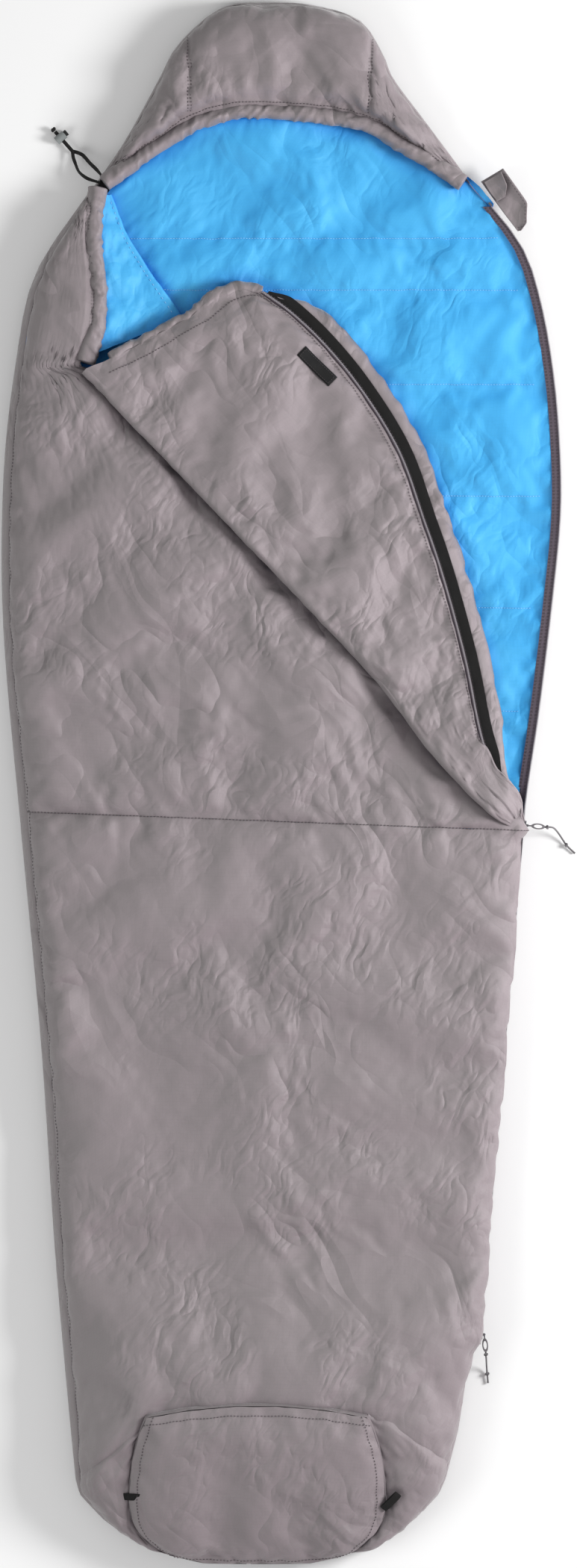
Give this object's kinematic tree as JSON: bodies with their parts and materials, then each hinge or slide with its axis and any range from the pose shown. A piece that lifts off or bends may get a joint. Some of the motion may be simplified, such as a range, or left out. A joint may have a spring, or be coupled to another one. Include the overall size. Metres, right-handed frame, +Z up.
{
  "type": "mummy sleeping bag",
  "caption": "Adult mummy sleeping bag lying flat and unzipped to the hip: drawcord hood, padded body, fold-over flap, two-way side zip and round foot box.",
  "frame": {"origin": "on the ground under the middle of the bag, at the bottom face of the back", "axes": "+Y from foot to head, +X towards the zip side, +Z up from the ground"},
  "size_m": [0.8106, 2.2015, 0.115],
  "materials": {
    "grey_shell": "woven nylon, slightly shiny, fine ripstop",
    "blue_lining": "soft taffeta with a low sheen",
    "padding": "loose polyester fibre",
    "zip_tape": "woven tape",
    "zip_coil": "satin nylon coil",
    "slider_metal": "satin paint, worn at the edges",
    "pull_cord": "braided cord",
    "black_webbing": "woven tape",
    "black_cord": "flat braid",
    "grey_plastic": "smooth, slightly translucent",
    "black_plastic": "smooth",
    "spring_steel": "drawn wire"
  },
  "bodies": {
    "bag": {"back_shell": "grey_shell", "back_insulation": "padding", "back_lining": "blue_lining", "left_side_panel": "grey_shell", "right_side_panel": "grey_shell", "front_shell_upper": "grey_shell", "front_shell_lower": "grey_shell", "front_insulation": "padding", "front_lining": "blue_lining", "neck_channel_left": "grey_shell", "neck_facing_left": "blue_lining", "zip_tape_back": "zip_tape", "zip_coil_back": "zip_coil", "zip_tape_front": "zip_tape", "zip_coil_front": "zip_coil", "zip_bottom_stop": "slider_metal", "zip_top_stop": "slider_metal", "drawcord_loop": "black_cord", "cord_end_knot": "black_cord"},
    "flap": {"flap_shell": "grey_shell", "flap_insulation": "padding", "flap_lining": "blue_lining", "flap_neck_channel": "grey_shell", "flap_zip_tape": "zip_tape", "flap_zip_coil": "zip_coil", "draft_tube": "grey_shell", "anti_snag_strip": "black_webbing", "woven_label": "black_webbing"},
    "hood": {"hood_back_shell": "grey_shell", "hood_back_insulation": "padding", "hood_back_lining": "blue_lining", "hood_lining": "blue_lining", "hood_insulation": "padding", "hood_left_panel": "grey_shell", "hood_center_panel": "grey_shell", "hood_right_panel": "grey_shell", "hood_rim_channel": "grey_shell", "hood_drawcord": "black_cord"},
    "foot_box": {"foot_panel_lining": "blue_lining", "foot_panel_insulation": "padding", "foot_panel_shell": "grey_shell", "foot_gusset_left": "grey_shell", "foot_gusset_right": "grey_shell"},
    "hang_loop_left": {"hang_loop_left": "black_webbing"},
    "hang_loop_right": {"hang_loop_right": "black_webbing"},
    "upper_slider": {"zip_slider_upper": "slider_metal"},
    "upper_pull": {"pull_tab_upper": "pull_cord", "pull_cord_upper": "pull_cord"},
    "lower_slider": {"zip_slider_lower": "slider_metal"},
    "lower_pull": {"pull_tab_lower": "pull_cord", "pull_cord_lower": "pull_cord"},
    "cord_lock": {"cord_lock_body": "grey_plastic", "cord_lock_spring": "spring_steel"},
    "cord_lock_button": {"cord_lock_button": "black_plastic"},
    "garage_tab": {"zip_garage_tab": "grey_shell", "zip_garage_tab_fold": "grey_shell"}
  },
  "joints": [
    {"name": "flap_open", "type": "hinge", "parent": "bag", "child": "flap", "pos_m": [-0.281, 0.586, 0.071], "axis": [0.6919, -0.722, 0], "range_deg": [0, 185]},
    {"name": "hood_lift", "type": "hinge", "parent": "bag", "child": "hood", "pos_m": [0, 0.842, 0.0215], "axis": [1, 0, 0], "range_deg": [0, 35]},
    {"name": "foot_box_lift", "type": "hinge", "parent": "bag", "child": "foot_box", "pos_m": [-0.037, -1.096, 0.031], "axis": [1, 0, 0], "range_deg": [0, 30]},
    {"name": "hang_loop_left_turn", "type": "hinge", "parent": "foot_box", "child": "hang_loop_left", "pos_m": [-0.224, -0.999, 0.065], "axis": [-0.1034, 0.9687, 0.2258], "range_deg": [0, 120]},
    {"name": "hang_loop_right_turn", "type": "hinge", "parent": "foot_box", "child": "hang_loop_right", "pos_m": [0.141, -1.01509, 0.06651], "axis": [-0.7507, 0.6265, 0.2096], "range_deg": [0, 85]},
    {"name": "upper_slider_slide", "type": "slide", "parent": "bag", "child": "upper_slider", "axis": [-0.0848, -0.9964, 0], "range_m": [0, 0.27]},
    {"name": "upper_pull_swing", "type": "hinge", "parent": "upper_slider", "child": "upper_pull", "pos_m": [0.34348, -0.05847, 0.0317], "axis": [0, 0, 1], "range_deg": [-45, 80]},
    {"name": "lower_slider_slide", "type": "slide", "parent": "bag", "child": "lower_slider", "axis": [0.0848, 0.9964, 0], "range_m": [0, 0.27]},
    {"name": "lower_pull_swing", "type": "hinge", "parent": "lower_slider", "child": "lower_pull", "pos_m": [0.28248, -0.77547, 0.0317], "axis": [0, 0, 1], "range_deg": [0, 150]},
    {"name": "cord_lock_slide", "type": "slide", "parent": "bag", "child": "cord_lock", "axis": [0.6612, -0.7502, 0], "range_m": [0, 0.016]},
    {"name": "cord_lock_button_press", "type": "slide", "parent": "cord_lock", "child": "cord_lock_button", "axis": [-0.7502, -0.6612, 0], "range_m": [0, 0.0025], "stiffness_N_per_m": 900, "springref_m": -0.001, "deforming": ["cord_lock_spring"]},
    {"name": "garage_tab_fold", "type": "hinge", "parent": "bag", "child": "garage_tab", "pos_m": [0.304, 0.814, 0.0305], "axis": [0.5963, -0.8027, 0], "range_deg": [0, 165]}
  ]
}
